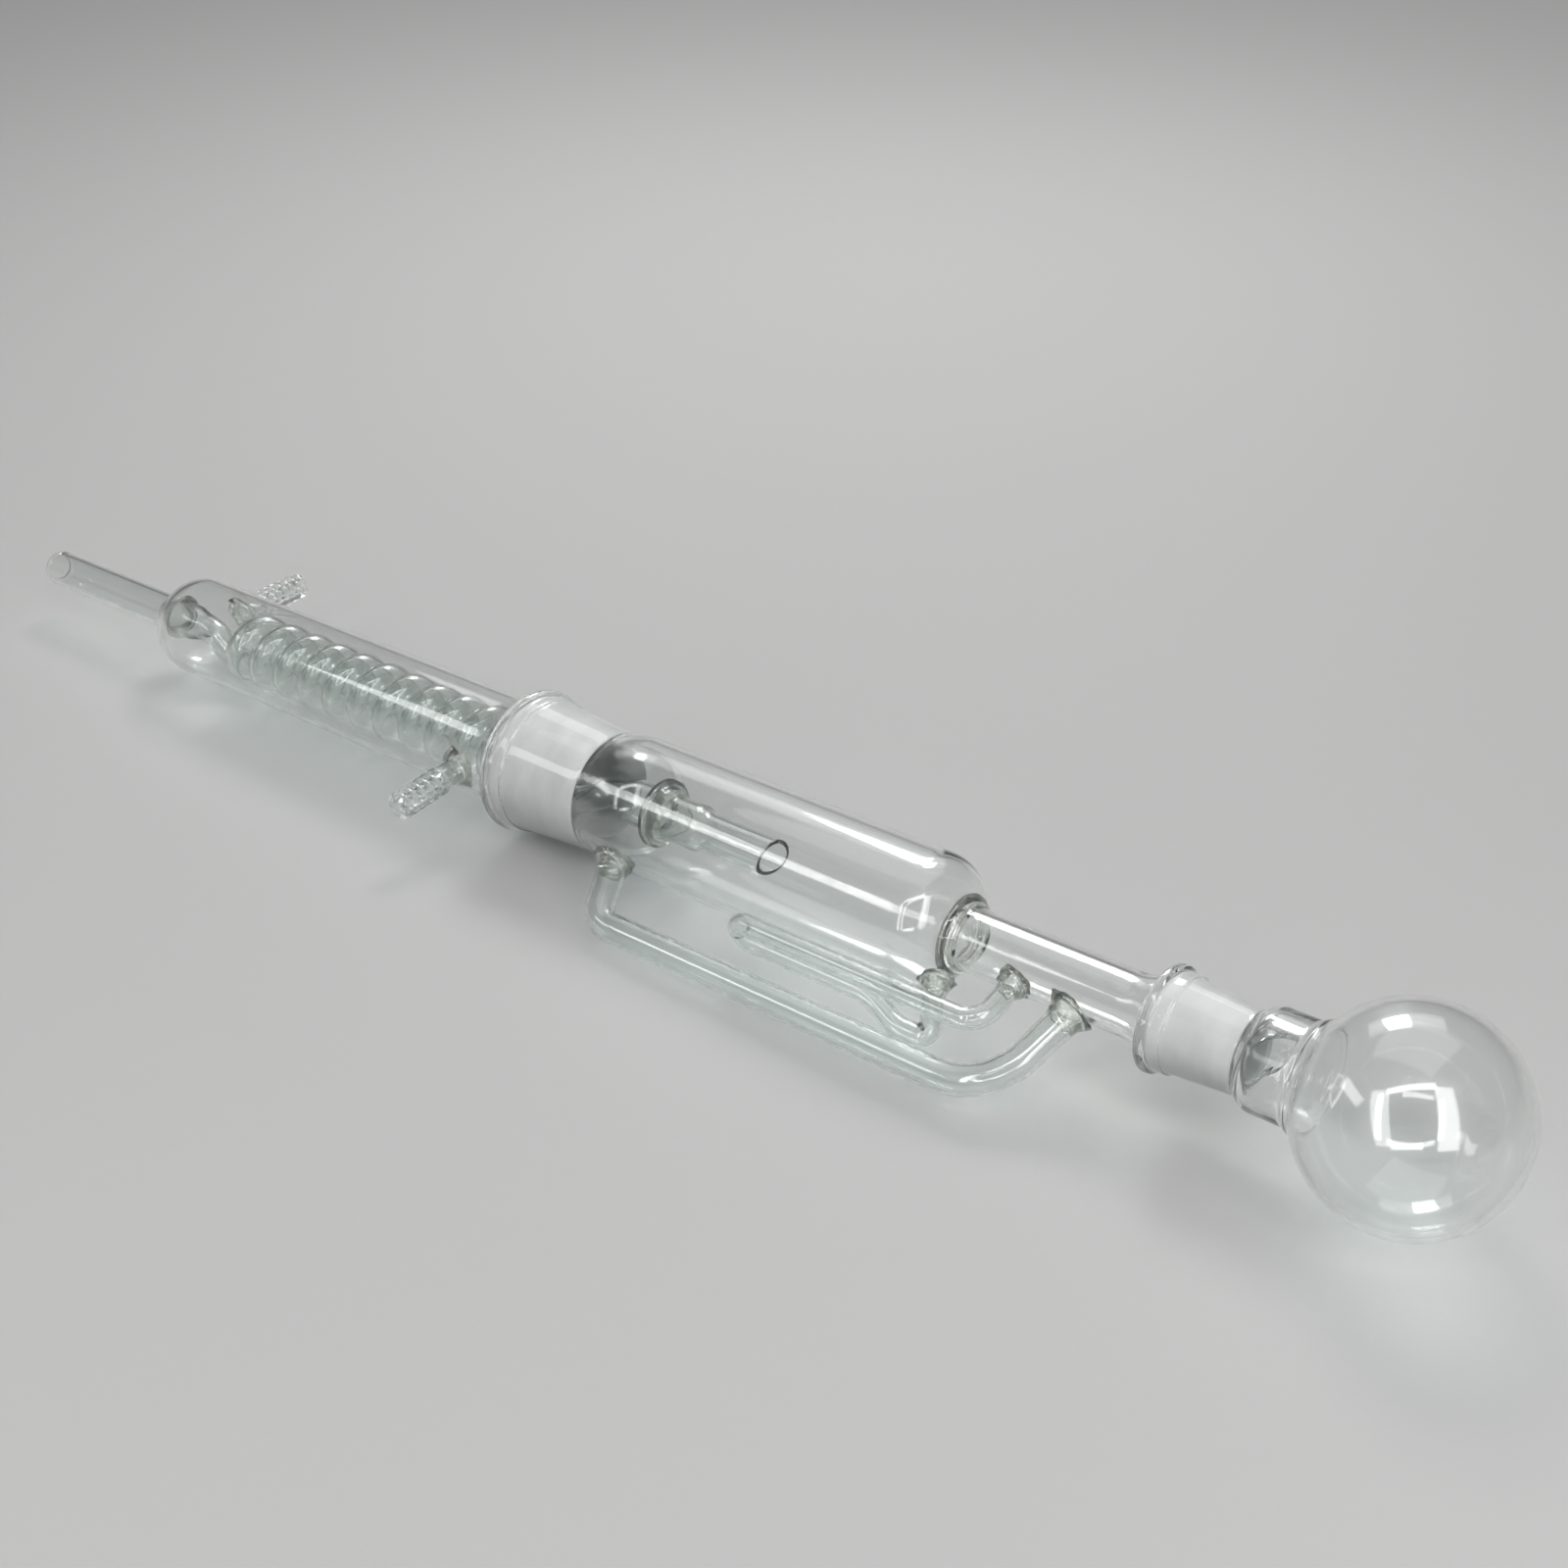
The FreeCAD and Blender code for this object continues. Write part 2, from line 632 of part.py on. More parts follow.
# Rings of melted glass where the vent tube and the drip tube pass through the jacket and the dome.
vent_ring_foot = jacket_top - size.vent_seal_sink
vent_ring = lathe("vent_ring", [
    (size.vent_radius, vent_ring_foot),
    (size.vent_radius + size.seal_width, vent_ring_foot),
    (size.vent_radius + size.seal_lip, jacket_top + size.seal_height),
    (size.vent_radius, jacket_top + size.seal_height),
])
sub_part(cut(vent_ring, jacket_full), "vent_seal")
sub_part(lathe("drip_ring", [
    (size.drip_radius, dome_low),
    (size.drip_radius + size.seal_width, dome_low),
    (size.drip_radius + size.seal_width, dome_low - size.seal_height / 2),
    (size.drip_radius + size.seal_lip, dome_low - size.seal_height),
    (size.drip_radius, dome_low - size.seal_height),
]), "drip_seal")

# ---- Hose barbs: ribbed side tubes on opposite sides of the jacket ----------------------------
barb_tip = size.jacket_radius + size.barb_length
barb_root = size.barb_radius - size.barb_groove


def barb_outline():
    """Half-section of a barb: ridges with a flat land, each falling into the groove behind it."""
    outline = [(size.barb_bore, barb_tip), (size.barb_bore, jacket_inner), (barb_root, jacket_inner)]
    half_slope = (size.barb_ridge_pitch - size.barb_ridge_land) / 4
    ridges = int(size.barb_ridges.value)
    for ridge in range(ridges):
        foot = barb_tip - size.barb_ridge_pitch * (ridges - ridge) + half_slope
        crest = foot + half_slope * 2
        outline += [(barb_root, foot), (size.barb_radius, crest),
                    (size.barb_radius, crest + size.barb_ridge_land)]
    return outline + [(barb_root, barb_tip)]


jacket_bores = []
for name, station, angle in [("inlet", jacket_foot + size.inlet_rise, size.inlet_angle),
                             ("outlet", jacket_top - size.outlet_depth, size.outlet_angle)]:
    aim = polar(1, angle.value, 0)
    facing = Placement(Vector(0, 0, station.value), Rotation(Vector(0, 0, 1), aim))
    barb = lathe(name + "_ribbed", barb_outline())
    barb.Placement = facing
    bore = make("Part::Cylinder", name + "_bore", Radius=size.barb_bore, Height=barb_tip)
    bore.Placement = facing
    jacket_bores.append(bore)
    sub_part(cut(barb, jacket_full), name + "_barb")
    foot = facing.Base + aim * (size.jacket_radius - size.barb_weld_sink).value
    trimmer = make("Part::Cylinder", name + "_bar", Radius=barb_root, Height=barb_tip)
    trimmer.Placement = facing
    weld_collar(name + "_weld", barb_root, foot, aim, [jacket_full, trimmer])
sub_part(cut(jacket, join([vent_hole, *jacket_bores])), "condenser_jacket")

# ---- Lay the set on its side: it rests on the flask, the large rim and the vapour tube --------
doc.recompute()
ball_radius, rim_radius = size.flask_radius.value, size.large_rim_radius.value
rim_station = (large_mouth - size.rim_round / 2).value
tilt = math.asin(ball_radius / math.hypot(rim_station, rim_radius)) - math.atan2(rim_radius, rim_station)
axis_height = ball_radius - (vapour_top - size.vapour_top_fall).value * math.sin(tilt)
drop = (axis_height - size.vapour_radius.value) / (vapour_standoff.value * math.cos(tilt))
roll = -math.asin(drop)
along = Vector(-math.cos(tilt), 0, -math.sin(tilt))
above = Vector(-math.sin(tilt), 0, math.cos(tilt))
aside = Vector(0, -1, 0)
vapour_side = aside * math.cos(roll) + above * math.sin(roll)
turned = Rotation(vapour_side, along.cross(vapour_side), along, "ZXY")

laid = Placement(Vector(0, 0, 0), turned)
for piece in sub_parts:
    piece.Placement = laid
doc.recompute()
bounds = Part.makeCompound([piece.Shape for piece in sub_parts]).optimalBoundingBox(False, False)
laid = Placement(Vector(-bounds.Center.x, -bounds.Center.y, size.flask_radius.value), turned)
for piece in sub_parts:
    piece.Placement = laid
doc.recompute()
print("tilt", round(math.degrees(tilt), 3), "roll", round(math.degrees(roll), 3))
print("flask centre", laid.Base, "overall", bounds.XLength, bounds.YLength, bounds.ZLength)

# ---- Check every object and write the sub-parts ------------------------------------------------
failed = [thing.Label for thing in doc.Objects if "Invalid" in thing.State or "Error" in thing.State]
failed += [piece.Label for piece in sub_parts if piece.Shape.isNull() or not piece.Shape.isValid()]
if failed:
    raise RuntimeError("these objects failed: " + ", ".join(failed))
os.makedirs("parts", exist_ok=True)
for piece in sub_parts:
    piece.Shape.exportStep(f"parts/{piece.Label}.step")
    print(piece.Label, len(piece.Shape.Solids), round(piece.Shape.Volume, 1))
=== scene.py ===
import json

import bpy
import numpy as np
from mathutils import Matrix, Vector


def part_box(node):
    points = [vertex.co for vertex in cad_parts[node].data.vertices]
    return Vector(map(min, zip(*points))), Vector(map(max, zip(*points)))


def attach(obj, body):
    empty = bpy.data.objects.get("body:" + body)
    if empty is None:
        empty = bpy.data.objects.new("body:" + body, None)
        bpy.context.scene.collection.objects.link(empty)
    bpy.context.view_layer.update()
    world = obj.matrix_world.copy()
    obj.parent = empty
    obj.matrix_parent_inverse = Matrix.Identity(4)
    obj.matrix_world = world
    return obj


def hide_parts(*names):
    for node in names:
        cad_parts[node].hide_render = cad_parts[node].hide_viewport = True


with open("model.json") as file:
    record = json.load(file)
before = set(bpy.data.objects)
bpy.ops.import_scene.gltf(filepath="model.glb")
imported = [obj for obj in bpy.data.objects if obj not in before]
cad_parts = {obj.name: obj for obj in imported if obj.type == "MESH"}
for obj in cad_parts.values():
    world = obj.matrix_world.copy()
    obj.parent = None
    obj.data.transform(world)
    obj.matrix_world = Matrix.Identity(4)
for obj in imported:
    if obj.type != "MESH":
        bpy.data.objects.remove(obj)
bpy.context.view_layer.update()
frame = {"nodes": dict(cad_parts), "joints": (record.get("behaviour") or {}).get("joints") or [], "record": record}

# ---- Boiling flask -----------------------------------------------------------------------------
# A round 100 ml bulb with a short wide neck and a 24/29 socket. It is one piece of clear borosilicate
# glass: the bulb is blown, the neck is drawn from it, and the socket is sealed on and ground inside.
flask_low, flask_high = (np.array(corner) * 1000 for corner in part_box("flask_bulb"))
ball_radius = (flask_high[2] - flask_low[2]) / 2
ball_wall = 1.8
flask_centre = np.array([flask_high[0] - ball_radius, (flask_low[1] + flask_high[1]) / 2,
                         (flask_low[2] + flask_high[2]) / 2])
joint_axes = {joint["name"]: np.array(joint["axis"]) for joint in frame["joints"]}
mount_axes = {mount["name"]: np.array(mount["axis"]) for mount in frame["record"]["mounts"]}
inlet_angle, outlet_angle = np.radians([24.0, 208.0])
along = joint_axes["condenser_slide"]
inlet_aim = mount_axes["water_inlet"]
vapour_side = np.cos(inlet_angle) * inlet_aim - np.sin(inlet_angle) * np.cross(along, inlet_aim)
upright = np.array([vapour_side, np.cross(along, vapour_side), along])


def lay_down(points):
    """World places in metres of points in millimetres given with the glass axis upright: x towards the
    vapour tube, z the station above the flask's centre. Each is the centre plus the three axes' shares."""
    return (flask_centre + points @ upright) / 1000


def measure(node):
    """Lowest station, highest station and widest radius about the glass axis of a CAD node, in
    millimetres: the least and greatest z and the greatest hypot(x, y) of its points set upright."""
    vertices = frame["nodes"][node].data.vertices
    places = np.empty(len(vertices) * 3)
    vertices.foreach_get("co", places)
    x, y, station = ((places.reshape(-1, 3) * 1000 - flask_centre) @ upright.T).T
    return station.min(), station.max(), np.hypot(x, y).max()


def rounded(corners, arc_steps=10):
    """A line through corners given as (coordinates..., reach). Round each corner runs a circular arc that
    leaves the line at the reach before it and meets it again at the reach after it: the rational
    curve (s'^2 a + 2 w s s' c + s^2 b) / (s'^2 + 2 w s s' + s^2), with s' = 1 - s, a and b the two ends,
    c the corner and w the sine of half its angle."""
    corners = np.array(corners, float)
    places, reaches = corners[:, :-1], corners[:, -1]
    line = [places[:1]]
    share = np.linspace(0, 1, arc_steps + 1)[:, None]
    for before, corner, after, reach in zip(places, places[1:], places[2:], reaches[1:]):
        back, ahead = before - corner, after - corner
        back, ahead = back / np.linalg.norm(back), ahead / np.linalg.norm(ahead)
        weight = np.sqrt(max(1 - back @ ahead, 0) / 2)
        leaving, turning, joining = (1 - share) ** 2, 2 * weight * share * (1 - share), share ** 2
        blend = leaving * (corner + back * reach) + turning * corner + joining * (corner + ahead * reach)
        line.append(blend / (leaving + turning + joining) if reach else corner[None])
    return np.concatenate(line + [places[-1:]])


def evenly(line, step):
    """The same line with extra points: a straight piece of length l is cut into ceil(l / step) equal parts,
    and the k-th point of n on it is start + (k / n) (end - start)."""
    lengths = np.linalg.norm(np.diff(line, axis=0), axis=1)
    counts = np.maximum(np.ceil(lengths / step).astype(int), 1)
    start = np.repeat(np.arange(len(counts)), counts)
    share = (np.arange(len(start)) - np.repeat(np.cumsum(counts) - counts, counts)) / counts[start]
    return np.concatenate([line[start] + share[:, None] * (line[start + 1] - line[start]), line[-1:]])


def turned(outline, sides=112):
    """Rings about the glass axis: the point (radius, station) at angle a is (r cos a, r sin a, station)."""
    radius, station = outline[:, 0, None], outline[:, 1, None]
    angle = np.linspace(0, 2 * np.pi, sides, endpoint=False)[None]
    return np.stack([radius * np.cos(angle), radius * np.sin(angle), station + 0 * angle], axis=-1)


def glass_piece(name, rings, closed, finish, slot, body, *nodes):
    """Mesh over a grid of rings. Each point joins its neighbour in the ring and in the next ring. The last
    ring joins the first where the piece is closed; otherwise both end rings are poles. The faces turn
    outwards: the sum of (b - a) x (c - a) . a over them, six times the volume, has to be positive."""
    sides = rings.shape[1]
    middle = rings if closed else rings[1:-1]
    points = middle.reshape(-1, 3) if closed else np.concatenate([rings[0, :1], middle.reshape(-1, 3),
                                                                  rings[-1, :1]])
    index = np.arange(middle.shape[0] * sides).reshape(-1, sides) + (0 if closed else 1)
    here, there = (index, np.roll(index, -1, axis=0)) if closed else (index[:-1], index[1:])
    quads = np.stack([here, np.roll(here, -1, axis=1), np.roll(there, -1, axis=1), there], axis=-1)
    quads = quads.reshape(-1, 4)
    fans = np.empty((0, 3), int)
    if not closed:
        first, last = index[0], index[-1]
        fans = np.concatenate([np.stack([0 * first, np.roll(first, -1), first], axis=-1),
                               np.stack([0 * last + len(points) - 1, last, np.roll(last, -1)], axis=-1)])
    points = lay_down(points)
    a, b, c, d = (points[quads[:, k]] - points.mean(axis=0) for k in range(4))
    if (np.cross(b - a, c - a) * a).sum() + (np.cross(c - a, d - a) * a).sum() < 0:
        quads, fans = quads[:, ::-1], fans[:, ::-1]
    mesh = bpy.data.meshes.new(name)
    mesh.from_pydata(points.tolist(), [], quads.tolist() + fans.tolist())
    mesh.polygons.foreach_set("use_smooth", np.ones(len(mesh.polygons), bool))
    mesh.materials.append(finish)
    piece = bpy.data.objects.new(name, mesh)
    bpy.context.scene.collection.objects.link(piece)
    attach(piece, body)
    if nodes:
        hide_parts(*nodes)


def drawn_glass_group():
    """Surface of drawn glass: long faint ridges along the tube, soft waviness and a thin film of dust."""
    group = bpy.data.node_groups.new("drawn_glass", "ShaderNodeTree")
    for label, low in [("Ridges", 60.0), ("Clean", 0.0), ("Dusty", 0.05)]:
        group.interface.new_socket(label, in_out="INPUT", socket_type="NodeSocketFloat").default_value = low
    for label in ["Roughness", "Height"]:
        group.interface.new_socket(label, in_out="OUTPUT", socket_type="NodeSocketFloat")
    nodes, links = group.nodes, group.links
    entry, leaving = nodes.new("NodeGroupInput"), nodes.new("NodeGroupOutput")
    place = nodes.new("ShaderNodeTexCoord")
    stretch = nodes.new("ShaderNodeMapping")
    stretch.inputs["Scale"].default_value = (0.12, 1.0, 1.0)
    ridges, waves, film = (nodes.new("ShaderNodeTexNoise") for _ in range(3))
    waves.inputs["Scale"].default_value = 45.0
    film.inputs["Scale"].default_value = 220.0
    film.inputs["Detail"].default_value = 6.0
    links.new(place.outputs["Object"], stretch.inputs["Vector"])
    links.new(stretch.outputs["Vector"], ridges.inputs["Vector"])
    links.new(entry.outputs["Ridges"], ridges.inputs["Scale"])
    links.new(place.outputs["Object"], waves.inputs["Vector"])
    links.new(place.outputs["Object"], film.inputs["Vector"])
    height = nodes.new("ShaderNodeMath")
    height.operation = "ADD"
    links.new(ridges.outputs["Fac"], height.inputs[0])
    links.new(waves.outputs["Fac"], height.inputs[1])
    links.new(height.outputs["Value"], leaving.inputs["Height"])
    spread = nodes.new("ShaderNodeMapRange")
    spread.inputs["From Min"].default_value = 0.45
    spread.inputs["From Max"].default_value = 0.75
    links.new(film.outputs["Fac"], spread.inputs["Value"])
    links.new(entry.outputs["Clean"], spread.inputs["To Min"])
    links.new(entry.outputs["Dusty"], spread.inputs["To Max"])
    links.new(spread.outputs["Result"], leaving.inputs["Roughness"])
    return group


drawn_glass = drawn_glass_group()


def clear_finish(name, tint, ridges, dusty, depth):
    """Fire-polished glass: full transmission, a faint tint, a thin haze that spreads the highlights, and a
    skin that lets most light cast through."""
    finish = bpy.data.materials.new(name)
    finish.use_nodes = True
    nodes, links = finish.node_tree.nodes, finish.node_tree.links
    shader, output = nodes["Principled BSDF"], nodes["Material Output"]
    shader.inputs["Base Color"].default_value = (*tint, 1)
    shader.inputs["IOR"].default_value = 1.474
    shader.inputs["Transmission Weight"].default_value = 1.0
    shader.inputs["Coat Weight"].default_value = 0.3
    shader.inputs["Coat Roughness"].default_value = 0.2
    skin = nodes.new("ShaderNodeGroup")
    skin.node_tree = drawn_glass
    skin.inputs["Ridges"].default_value = ridges
    skin.inputs["Dusty"].default_value = dusty
    links.new(skin.outputs["Roughness"], shader.inputs["Roughness"])
    bump = nodes.new("ShaderNodeBump")
    bump.inputs["Strength"].default_value = 1.0
    bump.inputs["Distance"].default_value = depth
    links.new(skin.outputs["Height"], bump.inputs["Height"])
    links.new(bump.outputs["Normal"], shader.inputs["Normal"])
    path, passing = nodes.new("ShaderNodeLightPath"), nodes.new("ShaderNodeBsdfTransparent")
    cast = nodes.new("ShaderNodeMixShader")
    passing.inputs["Color"].default_value = (0.78, 0.80, 0.80, 1)
    links.new(path.outputs["Is Shadow Ray"], cast.inputs["Fac"])
    links.new(shader.outputs["BSDF"], cast.inputs[1])
    links.new(passing.outputs["BSDF"], cast.inputs[2])
    links.new(cast.outputs["Shader"], output.inputs["Surface"])
    return finish


clear_glass = clear_finish("clear_glass", (0.962, 0.972, 0.967), 60.0, 0.025, 0.000015)

small_end, small_mouth, small_rim = measure("flask_socket")
neck_radius, neck_foot_radius, neck_wall = 15.2, 16.5, 1.7
small_bore, small_bore_end, small_wall = 12.0, 10.55, 2.0
small_band = small_mouth - 7.5


def ball_arc(radius, neck_side_radius, points=64):
    """Arc (r sin a, -r cos a) about the flask's centre, from its far pole at a = 0 to the neck's side, at
    a = pi - arcsin(side / r)."""
    angle = np.linspace(0, np.pi - np.arcsin(neck_side_radius / radius), points)
    return np.stack([radius * np.sin(angle), -radius * np.cos(angle)], axis=-1)


ball_outside = ball_arc(ball_radius, neck_foot_radius + 2.4)
ball_inside = ball_arc(ball_radius - ball_wall, neck_foot_radius - neck_wall + 1.9)
neck_outside = rounded([
    (*ball_outside[-1], 0),
    (neck_foot_radius + 0.1, ball_outside[-1][1] + 1.6, 1.0),
    (neck_foot_radius + 0.3, ball_outside[-1][1] + 3.0, 0.7),
    (neck_radius + 0.2, ball_outside[-1][1] + 4.6, 1.2),
    (neck_radius + 0.1, small_end - 2.6, 2.2),
    (small_bore_end + small_wall, small_end + 0.2, 1.4),
    (small_bore + small_wall - 0.1, small_band - 0.2, 0.6),
    (small_rim - 1.4, small_band + 0.2, 0.5),
    (small_rim - 1.5, small_mouth - 3.6, 0.9),
    (small_rim, small_mouth - 2.5, 0.8),
    (small_rim, small_mouth, 1.1),
    (small_bore + 0.4, small_mouth, 0.7),
    (small_bore - 0.05, small_mouth - 1.2, 0.5),
    (small_bore_end, small_end, 0.9),
    (neck_radius - neck_wall, small_end - 4.0, 1.8),
    (neck_foot_radius - neck_wall - 0.1, ball_inside[-1][1] + 1.6, 2.2),
    (*ball_inside[-1], 0),
])
flask_outline = np.concatenate([ball_outside, evenly(neck_outside, 1.3)[1:-1], ball_inside[::-1]])
glass_piece("flask_glass", turned(flask_outline, 128), False, clear_glass, "clear_glass", "flask",
            "flask_bulb", "flask_neck", "flask_socket")

# ---- Extractor's main tube ---------------------------------------------------------------------
# The stem with its slanting drip end and ground cone, the wide extraction chamber with its round closed
# base, and the 40/38 socket. They are tubes of clear glass, fused end to end in the flame.
chamber_base = measure("extraction_chamber")[0]
large_end, large_mouth, large_rim = measure("extractor_socket")
drip_end = measure("stem_drip_end")[0]
joint_gap = 0.05
cone_wall = 1.9
stem_radius, stem_wall, drip_radius, drip_cut = 9.6, 1.6, 9.0, np.radians(40.0)
chamber_radius, chamber_wall, base_round = 21.7, 1.8, 13.0
large_bore, large_bore_end, large_wall = 20.0, 18.1, 2.2
large_band = large_mouth - 8.0
chamber_inner = chamber_radius - chamber_wall

extractor_outline = evenly(rounded([
    (0, chamber_base + chamber_wall + 0.4, 0),
    (stem_radius - 2, chamber_base + chamber_wall + 0.5, 1.5),
    (chamber_inner, chamber_base + chamber_wall, base_round - chamber_wall - 1),
    (chamber_inner, large_end - 8.5, 3.5),
    (large_bore_end, large_end, 1.0),
    (large_bore - 0.06, large_mouth - 1.3, 0.6),
    (large_bore + 0.4, large_mouth, 0.7),
    (large_rim, large_mouth, 1.3),
    (large_rim, large_mouth - 2.7, 1.0),
    (large_rim - 1.6, large_mouth - 4.0, 1.1),
    (large_rim - 1.5, large_band + 0.2, 0.6),
    (large_bore + large_wall - 0.1, large_band - 0.3, 0.8),
    (large_bore_end + large_wall, large_end, 2.0),
    (chamber_radius, large_end - 8.5, 3.5),
    (chamber_radius, chamber_base, base_round),
    (stem_radius + 0.1, chamber_base - 0.1, 2.2),
    (stem_radius, small_mouth + 7.0, 3.5),
    (small_bore - joint_gap, small_mouth + 0.3, 1.5),
    (small_bore_end - joint_gap, small_end, 1.2),
    (drip_radius, drip_end + 4.0, 1.5),
    (drip_radius, drip_end, 0.6),
    (drip_radius - stem_wall, drip_end, 0.6),
    (drip_radius - stem_wall, drip_end + 4.0, 1.5),
    (small_bore_end - joint_gap - cone_wall, small_end, 1.2),
    (small_bore - joint_gap - cone_wall, small_mouth, 3.0),
    (stem_radius - stem_wall, small_mouth + 8.0, 3.5),
    (stem_radius - stem_wall, chamber_base - 0.2, 4.2),
    (0, chamber_base - 0.2, 0),
]), 1.5)
extractor_rings = turned(extractor_outline, 120)
drip_length = small_end - drip_end
slant = np.minimum((extractor_rings[..., 0] + drip_radius) * np.tan(drip_cut), drip_length * 0.94)
drip_share = np.clip((small_end - extractor_rings[..., 2]) / drip_length, 0, 1)
extractor_rings[..., 2] += drip_share * slant
glass_piece("extractor_glass", extractor_rings, False, clear_glass, "clear_glass", "extractor",
            "extraction_chamber", "extractor_socket", "stem_tube", "stem_drip_end")

# ---- Vapour tube and siphon --------------------------------------------------------------------
# Two bent tubes of clear glass beside the chamber. The vapour tube climbs from the stem to the chamber's
# top; the thinner siphon leaves the chamber's base, climbs, turns over and drops back into the stem.
tube_finish = clear_finish("tube_glass", (0.925, 0.943, 0.934), 90.0, 0.01, 0.000002)


def polar(radius, degrees, station):
    """The point (r cos a, r sin a, station) at a radius r and an angle a in degrees round the glass axis."""
    return radius * np.cos(np.radians(degrees)), radius * np.sin(np.radians(degrees)), station


def swept(path, across, radius, sides=36):
    """Rings along a path: at angle a a ring's point is the path's plus r (cos a n + sin a b), with n the
    part of the across direction that is square to the path and b square to both."""
    heading = np.gradient(path, axis=0)
    heading /= np.linalg.norm(heading, axis=1, keepdims=True)
    across = np.broadcast_to(across, path.shape)
    normal = across - (across * heading).sum(axis=1, keepdims=True) * heading
    normal /= np.linalg.norm(normal, axis=1, keepdims=True)
    other = np.cross(heading, normal)
    angle = np.linspace(0, 2 * np.pi, sides, endpoint=False)[None, :, None]
    reach = np.broadcast_to(np.asarray(radius, float), len(path))[:, None, None]
    return path[:, None] + reach * (np.cos(angle) * normal[:, None] + np.sin(angle) * other[:, None])


def tube_skin(path, across, radius, wall, flare, sides=36, fade=1.6):
    """The outside of a tube along a path and its bore back again. Towards both ends the tube widens by
    the flare times exp(-distance / fade), as a tube does where it is sealed to another, and its bore by
    0.6 of that."""
    run = np.concatenate([[0], np.cumsum(np.linalg.norm(np.diff(path, axis=0), axis=1))])
    widening = flare * (np.exp(-run / fade) + np.exp(-(run[-1] - run) / fade))
    outside = swept(path, across, radius + widening, sides)
    bore = swept(path, across, radius - wall + widening * 0.6, sides)
    return np.concatenate([outside, bore[::-1]])


vapour_radius, vapour_wall, vapour_standoff = 4.9, 1.2, 42.2
vapour_top, vapour_low = large_end - 16.0, small_mouth + 24.2
vapour_path = evenly(rounded([
    (*polar(chamber_radius - 1.0, 0, vapour_top - 0.8), 0),
    (*polar(vapour_standoff, 0, vapour_top - 8.5), 7.4),
    (*polar(vapour_standoff, 0, vapour_low + 9.5), 17.0),
    (*polar(stem_radius - 0.9, 0, vapour_low + 0.2), 0),
], 18), 1.4)
vapour_skin = tube_skin(vapour_path, (0, 1, 0), vapour_radius, vapour_wall, 2.0, 44)
glass_piece("vapour_tube_glass", vapour_skin, True, tube_finish, "clear_glass", "extractor", "vapour_tube")

siphon_radius, siphon_wall = 3.4, 0.9
siphon_standoff, trap_standoff = 27.6, 33.2
rise_angle, fall_angle = -3.0, 16.0
siphon_top, siphon_outlet = chamber_base + 64.5, chamber_base - 24.7
leg_gap = 2 * siphon_standoff * np.sin(np.radians(fall_angle - rise_angle) / 2)
siphon_path = evenly(rounded([
    (*polar(14.5, rise_angle, chamber_base - 0.4), 0),
    (*polar(trap_standoff, rise_angle, chamber_base - 8.7), 4.2),
    (*polar(trap_standoff, rise_angle, chamber_base + 3.0), 3.0),
    (*polar(siphon_standoff, rise_angle, chamber_base + 16.5), 5.0),
    (*polar(siphon_standoff, rise_angle, siphon_top), leg_gap / 2),
    (*polar(siphon_standoff, fall_angle, siphon_top), leg_gap / 2),
    (*polar(siphon_standoff, fall_angle, siphon_outlet), 7.0),
    (*polar(stem_radius - 0.8, fall_angle, siphon_outlet), 0),
], 14), 1.2)
siphon_skin = tube_skin(siphon_path, (0.6, 0.62, 0.5), siphon_radius, siphon_wall, 1.5)
glass_piece("siphon_glass", siphon_skin, True, tube_finish, "clear_glass", "extractor", "siphon_tube")

# ---- Seals between the extractor's tubes -------------------------------------------------------
# Lumpy collars of melted glass where each side tube meets the wall, and the thick ring where the stem
# meets the chamber's base. They are worked with a small flame, so they are thick, uneven and greenish.
weld_glass = clear_finish("weld_glass", (0.958, 0.970, 0.930), 420.0, 0.04, 0.00025)


def seal_collar(place, heading, radius, spread, height, lumps, bow):
    """A collar round a tube's root. At angle a and share h of its height the outside stands spread (1 - h)^2
    beyond the tube, times 1 + 0.22 sin(lumps a) + 0.13 sin((2 lumps + 1) a + 2), plus folds of
    0.16 (1 + sin(5 a + 9 h)) sin(pi h). Its foot sinks by bow cos^2 a, where the wall curves away, and its
    rim waves by 0.35 sin(lumps a + 1)."""
    outer_rings, inner_rings = 14, 8
    heading = np.array(heading) / np.linalg.norm(heading)
    across = np.cross(heading, (0.0, 0.0, 1.0))
    across /= np.linalg.norm(across)
    other = np.cross(heading, across)
    angle = np.linspace(0, 2 * np.pi, 48, endpoint=False)[None]
    share = np.concatenate([np.linspace(0, 1, outer_rings), np.linspace(1, 0, inner_rings)])[:, None]
    outside = (np.arange(outer_rings + inner_rings) < outer_rings)[:, None]
    uneven = 1 + 0.22 * np.sin(lumps * angle) + 0.13 * np.sin((2 * lumps + 1) * angle + 2)
    folds = 0.16 * (1 + np.sin(5 * angle + 9 * share)) * np.sin(np.pi * share)
    reach = np.where(outside, radius + 0.12 + spread * (1 - share) ** 2 * uneven + folds, radius - 0.25)
    rise = height * share - bow * (1 - share) * np.cos(angle) ** 2
    rise = rise + 0.35 * share * np.sin(lumps * angle + 1)
    return (np.array(place) + heading * rise[..., None]
            + reach[..., None] * (np.cos(angle)[..., None] * across + np.sin(angle)[..., None] * other))


